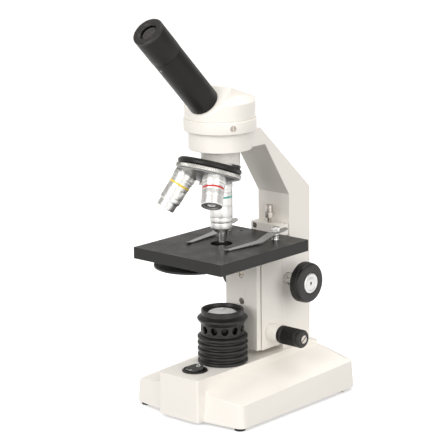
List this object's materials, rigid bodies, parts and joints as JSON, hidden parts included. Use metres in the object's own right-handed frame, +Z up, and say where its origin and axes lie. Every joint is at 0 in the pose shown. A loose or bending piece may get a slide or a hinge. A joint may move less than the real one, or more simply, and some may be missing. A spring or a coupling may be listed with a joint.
{
  "type": "microscope",
  "caption": "Upright school microscope with inclined monocular head, rotating nosepiece, focusing stage with clips and a lamp in its base.",
  "frame": {"origin": "centre of the object's box on the surface its feet stand on", "axes": "+Z up, +Y to the back (the arm), +X to the right seen from the eyepiece side"},
  "size_m": [0.14, 0.2268, 0.3821],
  "materials": {
    "cream_paint": "smooth semi-gloss enamel",
    "black_enamel": "satin black enamel on aluminium",
    "black_plastic": "satin moulded plastic",
    "rocker_plastic": "gloss moulded plastic",
    "chrome": "polished chrome plate",
    "steel": "turned steel",
    "grey_alloy": "fine satin anodised",
    "brass": "machined",
    "lens_glass": "polished optical glass",
    "rubber": "matte",
    "ceramic": "glazed",
    "mirror": "polished reflector",
    "wire": "insulated wire"
  },
  "bodies": {
    "stand": {"base_casting": "cream_paint", "base_plate": "black_enamel", "rubber_feet": "rubber", "foot_screws": "steel", "arm_casting": "cream_paint", "arm_bolts": "steel", "lamp_base_ring": "black_plastic", "lamp_holder": "ceramic", "lamp_bulb": "lens_glass", "lamp_mirror": "mirror", "switch_bezel": "black_plastic", "wiring": "wire", "cable_gland": "black_plastic", "tension_collars": "chrome", "nosepiece_disc": "black_enamel", "nosepiece_pivot": "steel", "detent_spring": "black_enamel"},
    "head": {"head_casting": "cream_paint", "head_collar": "cream_paint", "head_screws": "steel", "prism": "lens_glass", "eyepiece_tube": "black_enamel"},
    "eyepiece": {"eyepiece_barrel": "black_plastic", "eyepiece_cap": "black_plastic", "eyepiece_lenses": "lens_glass"},
    "nosepiece": {"turret_shell": "grey_alloy", "turret_ring": "chrome", "objective_4x": "chrome", "objective_10x": "chrome", "objective_40x": "chrome", "objective_lenses": "lens_glass", "objective_spring": "steel"},
    "objective_tip": {"objective_nose": "steel", "nose_lens": "lens_glass"},
    "lamp_shade": {"lamp_cover": "black_plastic", "lamp_lens": "lens_glass"},
    "rocker": {"switch_rocker": "rocker_plastic"},
    "slider": {"focus_block": "cream_paint", "rack": "brass", "slide_cap": "cream_paint", "cap_screws": "steel", "fine_bosses": "cream_paint", "stop_screw": "steel"},
    "coarse_drive": {"coarse_shaft": "steel", "coarse_pinion": "brass", "coarse_knobs": "black_plastic", "coarse_inserts": "steel"},
    "carriage": {"carriage_plate": "cream_paint", "fine_slide_bar": "steel", "carriage_screws": "steel", "stage_plate": "black_enamel", "condenser_mount": "black_enamel", "condenser_lens": "lens_glass", "clip_posts": "chrome"},
    "fine_drive": {"fine_shaft": "steel", "fine_cam": "brass", "fine_knobs": "black_plastic"},
    "left_clip": {"clip_left": "steel"},
    "right_clip": {"clip_right": "steel"},
    "diaphragm": {"diaphragm_disc": "black_enamel"}
  },
  "joints": [
    {"name": "head_turn", "type": "hinge", "parent": "stand", "child": "head", "pos_m": [0, -0.00855, 0.271], "axis": [0, 0, 1], "continuous": true},
    {"name": "eyepiece_pull", "type": "slide", "parent": "head", "child": "eyepiece", "axis": [0, -0.7071, 0.7071], "range_m": [0, 0.02]},
    {"name": "nosepiece_turn", "type": "hinge", "parent": "stand", "child": "nosepiece", "pos_m": [0, -0.02734, 0.22734], "axis": [0, 0.342, 0.9397], "continuous": true},
    {"name": "objective_retract", "type": "slide", "parent": "nosepiece", "child": "objective_tip", "axis": [0, 0, 1], "range_m": [0, 0.0025], "stiffness_N_per_m": 300, "springref_m": -0.003, "deforming": ["objective_spring"]},
    {"name": "coarse_slide", "type": "slide", "parent": "stand", "child": "slider", "axis": [0, 0, 1], "range_m": [-0.0045, 0.0005]},
    {"name": "coarse_knob_turn", "type": "hinge", "parent": "stand", "child": "coarse_drive", "pos_m": [0, 0.06495, 0.1145], "axis": [1, 0, 0], "range_deg": [-8, 51]},
    {"name": "fine_slide", "type": "slide", "parent": "slider", "child": "carriage", "axis": [0, 0, 1], "range_m": [-0.0006, 0.0006]},
    {"name": "fine_knob_turn", "type": "hinge", "parent": "slider", "child": "fine_drive", "pos_m": [0, 0.03985, 0.066], "axis": [1, 0, 0], "range_deg": [-137, 137]},
    {"name": "left_clip_turn", "type": "hinge", "parent": "carriage", "child": "left_clip", "pos_m": [-0.0305, 0.03445, 0.167], "axis": [0, 0, 1], "range_deg": [-90, 18]},
    {"name": "right_clip_turn", "type": "hinge", "parent": "carriage", "child": "right_clip", "pos_m": [0.0305, 0.03445, 0.167], "axis": [0, 0, 1], "range_deg": [-18, 90]},
    {"name": "diaphragm_turn", "type": "hinge", "parent": "carriage", "child": "diaphragm", "pos_m": [-0.011, -0.03755, 0.144], "axis": [0, 0, 1], "continuous": true},
    {"name": "switch_rock", "type": "hinge", "parent": "stand", "child": "rocker", "pos_m": [0, -0.04855, 0.0435], "axis": [1, 0, 0], "range_deg": [-16, 0]},
    {"name": "lamp_cover_lift", "type": "slide", "parent": "stand", "child": "lamp_shade", "axis": [0, 0, 1], "range_m": [0, 0.03]}
  ],
  "couplings": [
    {"joint": "coarse_knob_turn", "follows": "coarse_slide", "rad_per_m": -192.31},
    {"joint": "fine_knob_turn", "follows": "fine_slide", "rad_per_m": 3927}
  ]
}
